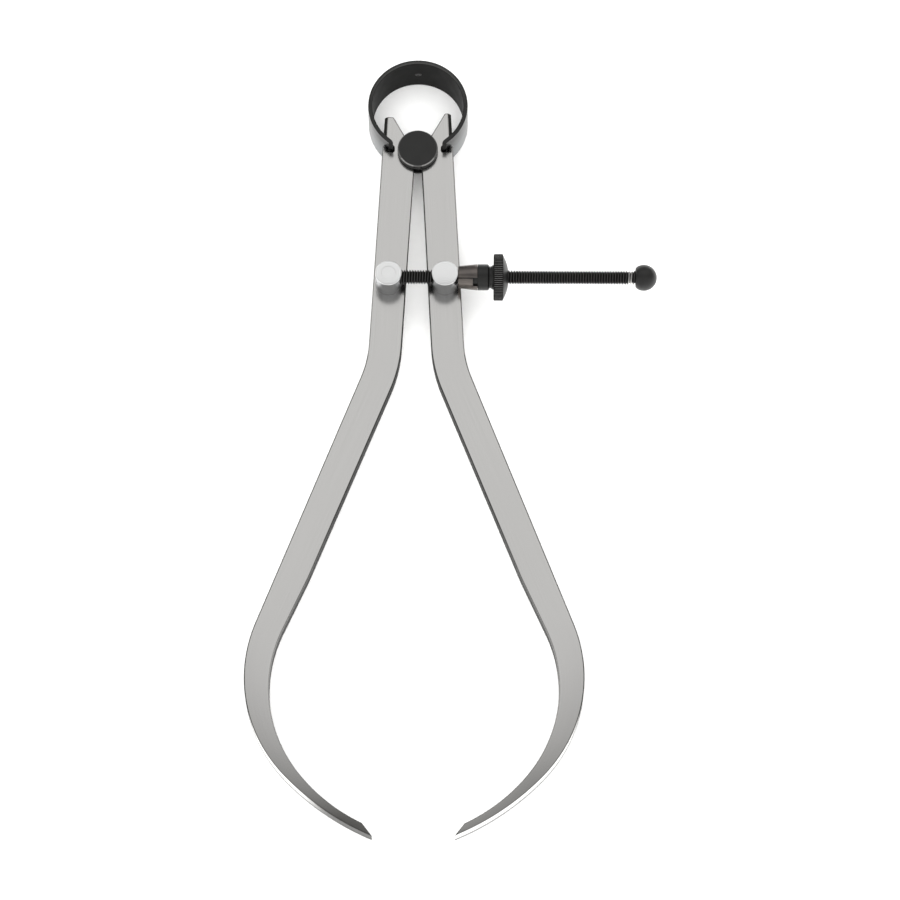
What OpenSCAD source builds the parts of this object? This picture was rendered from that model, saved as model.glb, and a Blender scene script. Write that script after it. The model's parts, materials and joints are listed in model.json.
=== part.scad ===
// Outside spring caliper, 200 mm, lying on its back on a flat surface.
// Millimetres. Z points up out of the front of the legs, Y runs from the tips to the bow spring.
// Every piece is drawn in the tool's own frame, with the fulcrum on the Z axis and the middle of
// the leg thickness at Z = 0. placed() then sets the whole tool down on the surface it lies on.

/* [Legs] */

// thickness of the leg stock
leg_t = 4.8; // [3:0.1:6]
// width of the upper limb
leg_w = 9.2; // [7:0.1:12]
// gap between the two upper limbs when the tips meet
leg_gap = 1.76; // [1:0.02:3]
// from the fulcrum down to where the knee begins
knee_drop = 59.3; // [55:0.1:70]
// how far the lower limb turns outward at the knee, in degrees
knee_angle = 18.15; // [12:0.05:24]
// radius of the inner edge round the knee
knee_r = 42; // [20:1:60]
// straight length of the lower limb along its outer edge
limb_len = 77.2; // [60:0.1:90]
// width of the lower limb where it begins to thin
limb_w = 8.7; // [7:0.1:11]
// distance along the lower limb at which it begins to thin
thin_at = 60; // [40:1:70]
// radius of the outer edge round the shoulder of the bow
bow_r = 41.1; // [36:0.1:46]
// how much smaller the inner edge's radius is round the shoulder of the bow
bow_in_less = 2.1; // [1:0.1:4]
// how far toward the closing plane the inner arc's centre sits from the outer one's
bow_in_x = 5; // [3:0.1:8]
// how far toward the tips the inner arc's centre sits from the outer one's
bow_in_y = 2.95; // [1:0.05:5]
// radius of the outer edge from the bow to the tip
tip_r = 71; // [60:0.1:85]
// where round the bow that outer edge starts, in degrees below level
tip_from = 46.5; // [35:0.5:60]
// how much smaller the inner edge's radius is from the bow to the tip
tip_in_less = 21.9; // [16:0.1:26]
// where round the bow that inner edge starts, in degrees below level
tip_in_from = 41.5; // [30:0.5:55]
// slope of the chisel cut at the tip, in degrees from the closing plane
tip_cut = 40; // [20:1:60]
// height of the left leg's prong above the fulcrum
left_prong_top = 10.4; // [9:0.1:13]
// height of the right leg's prong above the fulcrum
right_prong_top = 11.6; // [9:0.1:13]
// slope of the prong's inner edge, in degrees from the closing plane
prong_angle = 32.1; // [31:0.1:36]
// chamfer down the outer edge of the prong
prong_chamfer = 0.85; // [0.2:0.05:1.5]
// how far each leg stands open as drawn, in degrees
opening = 3.12; // [1:0.02:6]

/* [Fulcrum] */

// radius of the roller's groove, which the legs turn on
roller_r = 3.8; // [3:0.1:4.2]
// radius of the front head
head_r = 5.72; // [5:0.02:6.2]
// thickness of the front head
head_t = 2.2; // [1:0.1:3]
// radius of the rear collar
collar_r = 4.4; // [4.25:0.05:5.5]
// thickness of the rear collar
collar_t = 1; // [0.6:0.1:2]
// edge break on the head
head_edge = 0.3; // [0.1:0.05:0.6]

/* [Bow spring] */

// width of the strip
spring_w = 14; // [10:0.5:18]
// thickness of the strip
spring_t = 1.2; // [0.8:0.05:1.4]
// outside radius of the bow
spring_r = 14.2; // [13.8:0.05:15]
// height of the bow's centre above the fulcrum
spring_y = 12.35; // [12:0.05:13]
// where the strip leaves the round, in degrees below level
spring_end = 49; // [45:0.5:53]
// straight run from the round to the hooked end
ramp_len = 1.3; // [0.8:0.1:2]
// radius of the hooked end at the middle of the strip
hook_r = 1; // [0.8:0.05:1.2]
// how far the end is hooked down, in degrees
hook_turn = 60; // [54:1:80]
// width of the pocket in the leg that holds the hooked end
pocket_w = 2.2; // [2:0.05:2.6]
// radius of the punched dimple inside the crown
dimple_r = 0.6; // [0.3:0.05:1]
// depth of the punched dimple
dimple_d = 0.3; // [0.1:0.05:0.5]

/* [Posts and screw] */

// radius of the swivel posts
post_r = 3.7; // [3.4:0.05:4.2]
// height of the posts above the leg
post_h = 7.2; // [6.8:0.1:9]
// chamfer round the top of the posts
post_edge = 0.15; // [0.1:0.05:0.8]
// from the fulcrum down to the posts
post_drop = 40.75; // [30:0.05:50]
// from the leg's inner edge to the post
post_in = 4.82; // [4.2:0.02:5.2]
// radius of the post's shank in the leg
shank_r = 2.2; // [1.5:0.1:2.6]
// radius of the riveted end behind the leg
rivet_r = 3.2; // [2.8:0.1:3.6]
// height of the riveted end
rivet_t = 1; // [0.6:0.1:1.5]
// height of the screw above the leg
axis_h = 4.1; // [3.6:0.1:4.4]
// radius of the screw over its thread
screw_r = 2; // [1.6:0.05:2.2]
// from the left post to the middle of the ball
screw_reach = 71.6; // [60:0.1:90]
// how far the screw runs on past the middle of the left post
screw_tail = 2.4; // [1.5:0.1:2.8]
// radius of the ball
ball_r = 3.68; // [3:0.02:4.5]
// how far from its middle the ball is cut flat for the screw
ball_flat = 2.35; // [2:0.05:3.2]
// how far past its middle the screw runs into the ball
ball_grip = 1; // [0:0.1:1.5]
// radius of the plug that locks the screw in the left post
plug_r = 2.02; // [1.5:0.02:2.2]

/* [Adjusting nut] */

// length of the ferrule between post and nut
ferrule_len = 5.4; // [4:0.1:7]
// outside radius of the ferrule at the post
ferrule_r = 3.1; // [2.8:0.05:3.4]
// outside radius of the ferrule at the nut
ferrule_wide_r = 3.7; // [3.5:0.05:4]
// thickness of the ferrule's wall at the nut
ferrule_wall = 0.6; // [0.45:0.05:0.7]
// thickness of the ferrule's end at the post
ferrule_floor = 0.7; // [0.5:0.05:1]
// width of the ferrule's open seam
seam_w = 0.25; // [0.15:0.05:0.5]
// how far round from the top the seam lies, toward the tips, in degrees
seam_at = 27; // [0:1:60]
// width of the notch at the end of the seam
notch_w = 2.4; // [1:0.1:3]
// length of the notch at the end of the seam
notch_len = 1.3; // [0.6:0.1:2]
// gap between the ferrule and the nut's shoulder
shoulder_gap = 0.3; // [0.2:0.05:0.6]
// radius of the nut's body
nut_r = 3.67; // [3.4:0.01:4]
// length of the nut's body
nut_len = 2.92; // [2:0.02:4]
// radius of the neck behind the body
neck_r = 3.1; // [2.7:0.05:3.3]
// length of the neck
neck_len = 0.56; // [0.3:0.02:1]
// length of the flare from the neck to the wheel
flare_len = 0.9; // [0.5:0.05:1.5]
// radius of the knurled wheel
wheel_r = 6.55; // [6:0.05:7.5]
// width of the knurled rim
wheel_t = 2.7; // [2:0.1:4]
// radius of the domed back of the wheel
dome_r = 12.8; // [10:0.1:20]
// number of teeth round the knurl
knurl_count = 72; // [48:2:96]
// depth of the knurl
knurl_d = 0.25; // [0.1:0.05:0.4]
// width of the slits that split the nut's nose
slit_w = 0.5; // [0.3:0.05:0.8]

/* [Fits] */

// radial clearance of what turns or slides
fit = 0.05; // [0.03:0.01:0.1]
// clearance of what is screwed or pressed together
snug = 0.02; // [0.01:0.01:0.04]
// clearance round the bow spring in the legs
spring_clear = 0.2; // [0.1:0.05:0.3]

/* [Hidden] */

$fn = 96;
chord_gap = 0.005;

// the limb's direction below the knee, and the way in across it
limb_dir = [sin(knee_angle), -cos(knee_angle)];
limb_in = [-cos(knee_angle), -sin(knee_angle)];

// leg outline with the tips closed together on X = 0, right leg
edge_in = leg_gap / 2;
edge_out = edge_in + leg_w;
knee_c = [edge_in + knee_r, -knee_drop];
knee_out = knee_c + (knee_r - leg_w) * limb_in;
limb_end = knee_out + limb_len * limb_dir;
thin_point = knee_out + thin_at * limb_dir + limb_w * limb_in;
bow_c = limb_end + bow_r * limb_in;
bow_in_r = bow_r - bow_in_less;
tip_in_r = tip_r - tip_in_less;
bow_in_c = bow_c - [bow_in_x, bow_in_y];
tip_c = bow_c - (tip_r - bow_r) * below(tip_from);
tip_in_c = bow_in_c - (tip_in_r - bow_in_r) * below(tip_in_from);
tip = [0, tip_c[1] - sqrt(pow(tip_r, 2) - pow(tip_c[0], 2))];
cut_dir = [sin(tip_cut), cos(tip_cut)];
tip_in = tip + first_meeting(tip - tip_in_c, cut_dir, tip_in_r) * cut_dir;

// where the strip's hooked end sits
spring_c = [0, spring_y];
spring_in_r = spring_r - spring_t;
spring_mid_r = spring_r - spring_t / 2;
hook_c = spring_c + (spring_mid_r + hook_r) * below(spring_end)
       + ramp_len * [-sin(spring_end), -cos(spring_end)];
hook_out_r = hook_r + spring_t / 2;
pocket_x = hook_c[0] - hook_out_r - spring_clear;
pocket_y = hook_c[1] - hook_out_r * sin(hook_turn - spring_end) - spring_clear;

// posts, screw and nut as drawn
post_at = turned([edge_in + post_in, -post_drop], opening);
axis_z = leg_t / 2 + axis_h;
ferrule_x = post_at[0] + post_r + snug;
nut_x = ferrule_x + ferrule_len + shoulder_gap;
wheel_x = nut_len + neck_len + flare_len;
rim_r = wheel_r - knurl_d;
dome_rim_r = rim_r - 3 * fit;
dome_c = wheel_x + wheel_t - sqrt(pow(dome_r, 2) - pow(dome_rim_r, 2));
nose_len = ferrule_len - ferrule_floor;
ball_x = screw_reach - post_at[0];

// the box round the whole tool as drawn
box_left = -(turned(bow_c, opening)[0] + bow_r);
box_right = ball_x + ball_r;
box_low = turned(tip, opening)[1];
box_high = spring_y + spring_r;

// unit vector at an angle below level
function below(angle) = [cos(angle), -sin(angle)];

// a point swung about the fulcrum
function turned(p, angle) = [
    p[0] * cos(angle) - p[1] * sin(angle),
    p[0] * sin(angle) + p[1] * cos(angle)];

// direction of one point seen from another, in degrees
function bearing(from, to) = atan2(to[1] - from[1], to[0] - from[0]);

// where round a circle a straight edge from p runs onto it, on the side away from the closing plane
function touch_angle(p, c, r) = bearing(c, p) - acos(r / norm(p - c));

// how far along a direction a line from start, seen from a circle's centre, first meets the circle
function first_meeting(start, direction, r) =
    let (along = start * direction)
    -along - sqrt(pow(along, 2) - start * start + pow(r, 2));

// points round an arc no further than chord_gap from it, the last one left out where another follows
function arc(c, r, from, to, last = 1) =
    let (steps = ceil(abs(to - from) / (2 * acos(1 - chord_gap / r))))
    [for (i = [0 : steps - 1 + last])
        let (angle = from + (to - from) * i / steps)
        c + r * [cos(angle), sin(angle)]];

// lists of points mirrored, turned end for end, and less their first point
function flipped(points) = [for (p = points) [-p[0], p[1]]];
function reversed(points) = [for (i = [len(points) - 1 : -1 : 0]) points[i]];
function after_first(points) = [for (i = [1 : len(points) - 1]) points[i]];

// sets the tool down with the middle of its footprint at the origin
module placed() {
    translate([-(box_left + box_right) / 2, -(box_low + box_high) / 2, spring_w / 2])
        children();
}

// lays a piece drawn up the Z axis along the screw
module along_screw(x) {
    translate([x, post_at[1], axis_z])
        rotate([0, 90, 0])
            children();
}

// right leg with the tips closed: down the inner edge to the tip and back up the outer edge
function leg_outline(prong_top) = concat(
    [[edge_in, prong_top]],
    arc(knee_c, knee_r, 180, 180 + knee_angle),
    [thin_point],
    arc(bow_in_c, bow_in_r, touch_angle(thin_point, bow_in_c, bow_in_r), -tip_in_from, 0),
    arc(tip_in_c, tip_in_r, -tip_in_from, bearing(tip_in_c, tip_in)),
    arc(tip_c, tip_r, bearing(tip_c, tip), -tip_from, 0),
    arc(bow_c, bow_r, -tip_from, knee_angle),
    arc(knee_c, knee_r - leg_w, 180 + knee_angle, 180),
    [[edge_out, prong_top]]);

// the leg's outline with its seat, its V-shaped inner edge above the seat, and its post hole
module leg_plan(prong_top) {
    difference() {
        polygon(leg_outline(prong_top));
        circle(roller_r + fit);
        rotate(-prong_angle)
            translate([edge_in - leg_w, 0])
                square([leg_w, 2 * prong_top]);
        translate([edge_in + post_in, -post_drop])
            circle(shank_r + fit);
    }
}

// what the strip needs cut from the leg, as drawn
module spring_notch() {
    difference() {
        union() {
            intersection() {
                translate(spring_c)
                    circle(spring_r + spring_clear, $fn = 240);
                translate([pocket_x, pocket_y])
                    square([leg_w, spring_y]);
            }
            translate([pocket_x, pocket_y])
                square([pocket_w, pocket_w]);
        }
        translate(spring_c)
            circle(spring_in_r - spring_clear, $fn = 240);
    }
}

// chamfers on the front and back of the prong's outer edge
module prong_chamfers() {
    for (side = [-1, 1])
        translate([edge_out, 0, side * leg_t / 2])
            rotate([0, -45 * side, 0])
                translate([-prong_chamfer / sqrt(2), spring_y / 3, -2 * prong_chamfer])
                    cube([4 * prong_chamfer, spring_y, 4 * prong_chamfer]);
}

module leg(prong_top) {
    difference() {
        rotate(opening)
            difference() {
                linear_extrude(leg_t, center = true)
                    leg_plan(prong_top);
                prong_chamfers();
            }
        linear_extrude(2 * leg_t, center = true)
            spring_notch();
    }
}

module right_leg() {
    color("silver")
        leg(right_prong_top);
}

module left_leg() {
    color("silver")
        mirror([1, 0, 0])
            leg(left_prong_top);
}

// spool that the legs turn on, with a broad head in front and a low collar behind
module fulcrum_roller() {
    head_z = leg_t / 2 + fit;
    color("dimgray")
        rotate_extrude()
            polygon([
                [0, -head_z - collar_t],
                [collar_r - head_edge, -head_z - collar_t],
                [collar_r, -head_z - collar_t + head_edge],
                [collar_r, -head_z],
                [roller_r, -head_z],
                [roller_r, head_z],
                [head_r, head_z],
                [head_r, head_z + head_t - head_edge],
                [head_r - head_edge, head_z + head_t],
                [0, head_z + head_t]]);
}

// right half of one face of the strip, from the crown to the hooked end, at a radius of the bow
function strip_edge(r) =
    let (hook_edge_r = spring_mid_r + hook_r - r)
    concat(
        arc(spring_c, r, 90, -spring_end),
        arc(hook_c, hook_edge_r, 180 - spring_end, 180 - spring_end + hook_turn));

// bent strip that holds the legs to the roller and springs them open
module bow_spring() {
    color("dimgray")
        difference() {
            linear_extrude(spring_w, center = true)
                polygon(concat(
                    strip_edge(spring_r),
                    reversed(strip_edge(spring_in_r)),
                    flipped(after_first(strip_edge(spring_in_r))),
                    flipped(reversed(after_first(strip_edge(spring_r))))));
            translate([0, spring_y + spring_in_r + dimple_d, 0])
                rotate([90, 0, 0])
                    cylinder(h = spring_t, r = dimple_r);
        }
}

// swivel post with its shank riveted over behind the leg
module post() {
    foot = leg_t / 2 + fit;
    top = leg_t / 2 + post_h;
    rotate_extrude()
        polygon([
            [0, -foot - rivet_t],
            [rivet_r / 2, -foot - rivet_t],
            [rivet_r, -foot - rivet_t / 3],
            [rivet_r, -foot],
            [shank_r, -foot],
            [shank_r, foot],
            [post_r, foot],
            [post_r, top - post_edge],
            [post_r - post_edge, top],
            [0, top]]);
}

// left post, drilled from the right for the screw and from the front for its lock plug
module left_post() {
    color("gainsboro")
        difference() {
            translate([-post_at[0], post_at[1], 0])
                post();
            along_screw(-post_at[0] - screw_tail - snug)
                cylinder(h = 2 * post_r + screw_tail, r = screw_r + snug);
            translate([-post_at[0], post_at[1], axis_z])
                cylinder(h = post_h, r = plug_r + snug);
        }
}

// right post, with a clear hole that the screw slides through
module right_post() {
    color("gainsboro")
        difference() {
            translate([post_at[0], post_at[1], 0])
                post();
            along_screw(post_at[0] - 2 * post_r)
                cylinder(h = 4 * post_r, r = screw_r + 2 * fit);
        }
}

// plug that locks the screw in the left post, flush with its front
module lock_plug() {
    low = axis_z + screw_r + snug;
    color("gainsboro")
        translate([-post_at[0], post_at[1], low])
            cylinder(h = leg_t / 2 + post_h - low, r = plug_r);
}

// adjusting screw, drawn over the crests of its thread
module adjusting_screw() {
    color("dimgray")
        along_screw(-post_at[0] - screw_tail)
            cylinder(h = screw_tail + screw_reach + ball_grip, r = screw_r);
}

// ball that stops the nut from running off the screw
module ball_knob() {
    color("dimgray")
        along_screw(ball_x)
            difference() {
                sphere(ball_r);
                translate([0, 0, -ball_flat - ball_r])
                    cylinder(h = ball_r, r = ball_r);
                translate([0, 0, -ball_r])
                    cylinder(h = ball_r + ball_grip + snug, r = screw_r + snug);
            }
}

// rolled ferrule that closes on the split nose of the nut
module nut_ferrule() {
    mouth_r = ferrule_wide_r - ferrule_wall;
    floor_r = nose_r(ferrule_floor) + 2 * fit;
    color("slategray")
        along_screw(ferrule_x)
            difference() {
                rotate_extrude()
                    polygon([
                        [screw_r + 2 * fit, 0],
                        [ferrule_r, 0],
                        [ferrule_wide_r, ferrule_len],
                        [mouth_r, ferrule_len],
                        [floor_r, ferrule_floor],
                        [screw_r + 2 * fit, ferrule_floor]]);
                rotate(180 + seam_at) {
                    translate([0, -seam_w / 2, -1])
                        cube([2 * ferrule_r, seam_w, ferrule_len + 2]);
                    translate([0, -seam_w / 2, ferrule_len - notch_len])
                        cube([2 * ferrule_r, notch_w, 2 * notch_len]);
                }
            }
}

// radius of the nut's nose at a distance from the ferrule's outer end
function nose_r(z) =
    ferrule_r - ferrule_wall
    + (ferrule_wide_r - ferrule_r) * z / ferrule_len - 2 * fit;

// knurled nut with a split nose, a necked body and a domed wheel
module adjusting_nut() {
    nose_end = -nose_len;
    color("dimgray")
        along_screw(nut_x)
            difference() {
                union() {
                    rotate_extrude()
                        polygon([
                            [0, nose_end],
                            [nose_r(ferrule_floor + shoulder_gap), nose_end],
                            [nose_r(ferrule_len + shoulder_gap), 0],
                            [nut_r, 0],
                            [nut_r, nut_len - head_edge],
                            [nut_r - head_edge, nut_len],
                            [neck_r, nut_len],
                            [neck_r, nut_len + neck_len],
                            [nut_r, wheel_x],
                            [nut_r, wheel_x + wheel_t],
                            [0, wheel_x + wheel_t]]);
                    translate([0, 0, wheel_x])
                        linear_extrude(wheel_t)
                            polygon([for (i = [0 : 2 * knurl_count - 1])
                                let (r = i % 2 == 0 ? wheel_r : rim_r, a = 180 * i / knurl_count)
                                r * [cos(a), sin(a)]]);
                    rotate_extrude()
                        intersection() {
                            translate([0, dome_c])
                                circle(dome_r, $fn = 240);
                            translate([0, wheel_x + wheel_t - fit])
                                square([rim_r, dome_r]);
                        }
                }
                translate([0, 0, -ferrule_len])
                    cylinder(h = 6 * ferrule_len, r = screw_r + fit);
                for (turn = [0, 90])
                    rotate(turn)
                        translate([-nut_r, -slit_w / 2, nose_end - 1])
                            cube([2 * nut_r, slit_w, nose_len + 1]);
            }
}

placed() left_leg();
placed() right_leg();
placed() fulcrum_roller();
placed() bow_spring();
placed() left_post();
placed() right_post();
placed() lock_plug();
placed() adjusting_screw();
placed() ball_knob();
placed() nut_ferrule();
placed() adjusting_nut();
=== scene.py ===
"""Outside spring caliper, lying on its back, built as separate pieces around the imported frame."""

import json
import math

import bmesh
import bpy
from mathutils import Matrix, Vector


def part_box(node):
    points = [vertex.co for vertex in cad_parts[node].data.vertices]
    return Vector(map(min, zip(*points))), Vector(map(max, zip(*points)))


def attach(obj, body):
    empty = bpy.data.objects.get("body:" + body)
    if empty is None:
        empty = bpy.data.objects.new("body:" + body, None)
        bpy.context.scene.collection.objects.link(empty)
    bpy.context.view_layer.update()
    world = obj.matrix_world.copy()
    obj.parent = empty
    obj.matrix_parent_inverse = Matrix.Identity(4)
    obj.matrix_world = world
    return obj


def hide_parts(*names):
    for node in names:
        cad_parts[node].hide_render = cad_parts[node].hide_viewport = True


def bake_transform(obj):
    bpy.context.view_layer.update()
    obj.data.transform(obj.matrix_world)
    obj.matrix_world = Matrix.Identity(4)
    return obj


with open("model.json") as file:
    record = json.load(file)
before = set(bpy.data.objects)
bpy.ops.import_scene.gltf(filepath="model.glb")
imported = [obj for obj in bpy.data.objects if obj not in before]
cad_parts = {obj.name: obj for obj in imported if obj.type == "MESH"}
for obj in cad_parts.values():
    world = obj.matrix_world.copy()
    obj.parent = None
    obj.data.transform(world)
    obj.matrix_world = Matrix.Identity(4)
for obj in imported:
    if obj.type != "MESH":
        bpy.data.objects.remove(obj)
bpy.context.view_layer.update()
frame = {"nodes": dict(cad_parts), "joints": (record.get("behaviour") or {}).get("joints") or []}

bl_info = {
    "name": "Outside spring caliper",
    "version": (1, 0, 0),
    "blender": (4, 5, 0),
    "location": "3D View > Sidebar > Caliper",
    "description": "Builds the pieces, finishes and studio of an outside spring caliper",
    "category": "Object",
}

MM = 0.001
JOINTS = {joint["name"]: joint for joint in frame["joints"]}
FULCRUM = Vector(JOINTS["left_leg_swing"]["pos_m"])
LEFT_POST = Vector(JOINTS["left_post_swivel"]["pos_m"])
RIGHT_POST = Vector(JOINTS["right_post_swivel"]["pos_m"])
SCREW_Y = LEFT_POST.y
SCREW_Z = LEFT_POST.z
X_AXIS = Vector((1, 0, 0))
Z_AXIS = Vector((0, 0, 1))
# room between the legs and the shoulders that turn on them
LEG_GAP = 0.05 * MM
# points nearer than this are one point
SAME_POINT = 1e-7
# points of a profile nearer than this to the axis are on it
ON_AXIS = 1e-9


# Properties


def length(name, description, default):
    """A length held in metres and shown in the scene's units."""
    return bpy.props.FloatProperty(
        name=name, description=description, default=default, unit="LENGTH", precision=5
    )


def turn(name, description, default):
    """An angle held in radians and shown in degrees."""
    return bpy.props.FloatProperty(
        name=name, description=description, default=math.radians(default), subtype="ANGLE"
    )


def amount(name, description, default):
    """A plain number."""
    return bpy.props.FloatProperty(name=name, description=description, default=default)


def count(name, description, default):
    """A whole number."""
    return bpy.props.IntProperty(name=name, description=description, default=default, min=1)


def paint(name, description, default):
    """A colour written as an sRGB hex value."""
    return bpy.props.StringProperty(name=name, description=description, default=default)


class CaliperLegs(bpy.types.PropertyGroup):
    edge_break: length("Edge break", "Width of the broken edges of the legs", 0.35 * MM)
    slab: length("Slab", "Length of the slabs the legs are cut into for their grain", 2.0 * MM)


class CaliperSpring(bpy.types.PropertyGroup):
    radius: length("Bow radius", "Outside radius of the bow", 14.2 * MM)
    centre: length("Bow height", "From the fulcrum up to the middle of the bow", 12.35 * MM)
    thickness: length("Thickness", "Thickness of the strip", 1.2 * MM)
    end_angle: turn("End angle", "How far below level the strip leaves the round", 49)
    ramp: length("Ramp", "Straight run from the round to the hook", 1.3 * MM)
    hook_radius: length("Hook radius", "Radius of the hooked end", 1.0 * MM)
    hook_turn: turn("Hook turn", "How far the end is hooked down", 60)
    edge_radius: length("Edge radius", "Rounding of the strip's edges", 0.22 * MM)
    dimple: length("Dimple", "Radius of the punched dimple inside the crown", 0.6 * MM)


class CaliperPosts(bpy.types.PropertyGroup):
    edge: length("Edge", "Rounding of the front edge", 0.25 * MM)
    rivet: length("Rivet radius", "Radius of the riveted end behind the leg", 3.2 * MM)
    shank: length("Shank radius", "Radius of the part that turns in the leg", 2.2 * MM)
    hole: length("Hole radius", "Radius of the hole for the screw", 2.06 * MM)


class CaliperScrew(bpy.types.PropertyGroup):
    crest: length("Crest radius", "Radius over the thread", 2.0 * MM)
    depth: length("Thread depth", "Depth of the thread", 0.52 * MM)
    pitch: length("Pitch", "Distance from thread to thread", 0.75 * MM)
    bright_turns: count("Bright threads", "Threads next to the ball that are worn bright", 2)


class CaliperNut(bpy.types.PropertyGroup):
    teeth: count("Knurl teeth", "Number of teeth round the wheel", 72)
    tooth: length("Tooth depth", "Depth of the knurl", 0.25 * MM)
    wheel: length("Wheel radius", "Radius of the knurled wheel", 6.55 * MM)
    rim: length("Rim width", "Width of the knurled rim", 2.7 * MM)
    rim_edge: length("Rim edge", "Edge break at both ends of the teeth", 0.2 * MM)
    collar: length("Collar radius", "Radius where the wheel meets the nose", 3.67 * MM)
    dome: length("Dome radius", "Radius of the domed back", 12.8 * MM)
    bore: length("Bore radius", "Radius of the threaded hole", 2.05 * MM)


class CaliperStage(bpy.types.PropertyGroup):
    distance: length("Camera distance", "From the tool to the camera", 1.1)
    elevation: turn("Camera elevation", "Height of the camera above the tool", 70)
    swing: turn("Camera swing", "How far the camera stands round to the right", 0.2)
    lens: amount("Lens", "Focal length in millimetres", 158.4)
    aim: bpy.props.FloatVectorProperty(
        name="Aim",
        description="What the camera looks at, from the fulcrum",
        default=(9.5 * MM, -89.6 * MM, 0.0),
        subtype="TRANSLATION",
        unit="LENGTH",
    )
    floor: paint("Floor", "Colour of the floor", "#F6F6F5")
    sky: amount("Sky", "Brightness of the studio's walls and ceiling", 1.0)
    key: amount("Key light", "Strength of the soft main light", 4.0)


GROUPS = {
    "caliper_legs": CaliperLegs,
    "caliper_spring": CaliperSpring,
    "caliper_posts": CaliperPosts,
    "caliper_screw": CaliperScrew,
    "caliper_nut": CaliperNut,
    "caliper_stage": CaliperStage,
}


# Small tools


def linear(hex_code):
    """Linear colour of an sRGB hex value."""
    parts = [int(hex_code[i : i + 2], 16) / 255 for i in (1, 3, 5)]
    return tuple(
        c / 12.92 if c <= 0.04045 else ((c + 0.055) / 1.055) ** 2.4 for c in parts
    ) + (1.0,)


def ramp(value, start, end):
    """0 up to start, 1 from end on, and a straight rise between them."""
    return min(max((value - start) / (end - start), 0.0), 1.0)


def off_screw(point):
    """Distance of a point from the middle line of the screw."""
    return math.hypot(point.y - SCREW_Y, point.z - SCREW_Z)


def add(tree, kind, inputs=(), **settings):
    """Adds a node, sets it up, and fills or links the sockets named in inputs. A node given
    as an input stands for its first output."""
    new = tree.nodes.new(kind)
    for name, value in settings.items():
        setattr(new, name, value)
    for socket, value in dict(inputs).items():
        target = new.inputs[socket]
        if isinstance(value, bpy.types.Node):
            value = next(output for output in value.outputs if output.enabled)
        if isinstance(value, bpy.types.NodeSocket):
            tree.links.new(value, target)
        else:
            target.default_value = value
    return new


def new_material(name):
    """An empty material and its tree."""
    material = bpy.data.materials.new(name)
    material.use_nodes = True
    material.node_tree.nodes.clear()
    return material, material.node_tree


def new_piece(name, build):
    """An object at the origin whose mesh is made by a function that fills a bmesh."""
    piece = bpy.data.objects.new(name, bpy.data.meshes.new(name))
    bpy.context.scene.collection.objects.link(piece)
    reshape(piece, build)
    return piece


def reshape(piece, change):
    """Changes a piece's mesh by a function that works on it as a bmesh."""
    work = bmesh.new()
    work.from_mesh(piece.data)
    change(work)
    work.to_mesh(piece.data)
    work.free()


def settle(piece):
    """Turns what the modifiers make into the piece's own plain mesh."""
    bpy.context.view_layer.update()
    graph = bpy.context.evaluated_depsgraph_get()
    made = bpy.data.meshes.new_from_object(piece.evaluated_get(graph), depsgraph=graph)
    piece.modifiers.clear()
    old = piece.data
    piece.data = made
    made.name = piece.name
    if old.users == 0:
        bpy.data.meshes.remove(old)


def soften(piece, width, segments=2):
    """Breaks a piece's sharp edges."""
    bevel = piece.modifiers.new("edge break", "BEVEL")
    bevel.width = width
    bevel.segments = segments
    bevel.limit_method = "ANGLE"
    bevel.angle_limit = math.radians(35)
    bevel.use_clamp_overlap = False
    bevel.miter_outer = "MITER_ARC"
    settle(piece)


def shade(piece, angle=40):
    """Smooth shading, with flats kept flat by weighing the faces by their area."""
    piece.data.polygons.foreach_set("use_smooth", [True] * len(piece.data.polygons))
    piece.data.set_sharp_from_angle(angle=math.radians(angle))
    weighted = piece.modifiers.new("flats", "WEIGHTED_NORMAL")
    weighted.keep_sharp = True
    settle(piece)


def cad_copy(node, name):
    """A piece that starts from a CAD node, its loose triangles merged into whole faces."""

    def build(work):
        work.from_mesh(frame["nodes"][node].data)
        bmesh.ops.remove_doubles(work, verts=work.verts, dist=SAME_POINT)
        bmesh.ops.dissolve_limit(
            work, angle_limit=math.radians(0.2), verts=work.verts, edges=work.edges
        )

    return new_piece(name, build)


def cut(work, point, normal, **settings):
    """Cuts a whole bmesh along a plane."""
    bmesh.ops.bisect_plane(
        work,
        geom=work.verts[:] + work.edges[:] + work.faces[:],
        dist=SAME_POINT,
        plane_co=point,
        plane_no=normal,
        **settings,
    )


def lathe(work, profile, axis, centre, steps):
    """Spins a closed profile of (radius, along) points about an axis through centre."""
    side = X_AXIS if axis.z else Z_AXIS
    other = axis.cross(side)
    angles = [2 * math.pi * i / steps for i in range(steps)]
    rings = []
    for radius, along in profile:
        base = centre + axis * along
        if radius < ON_AXIS:
            rings.append([work.verts.new(base)])
            continue
        rings.append(
            [
                work.verts.new(base + radius * (math.cos(a) * side + math.sin(a) * other))
                for a in angles
            ]
        )
    for first, second in zip(rings, rings[1:] + rings[:1]):
        if len(first) == 1 and len(second) == 1:
            continue
        for i in range(steps):
            j = (i + 1) % steps
            corners = [
                first[i % len(first)],
                first[j % len(first)],
                second[j % len(second)],
                second[i % len(second)],
            ]
            work.faces.new(list(dict.fromkeys(corners)))
    bmesh.ops.recalc_face_normals(work, faces=work.faces)


def turned(name, profile, axis, centre, steps=96):
    """A piece turned on a lathe."""
    return new_piece(name, lambda work: lathe(work, profile, axis, centre, steps))


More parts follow.
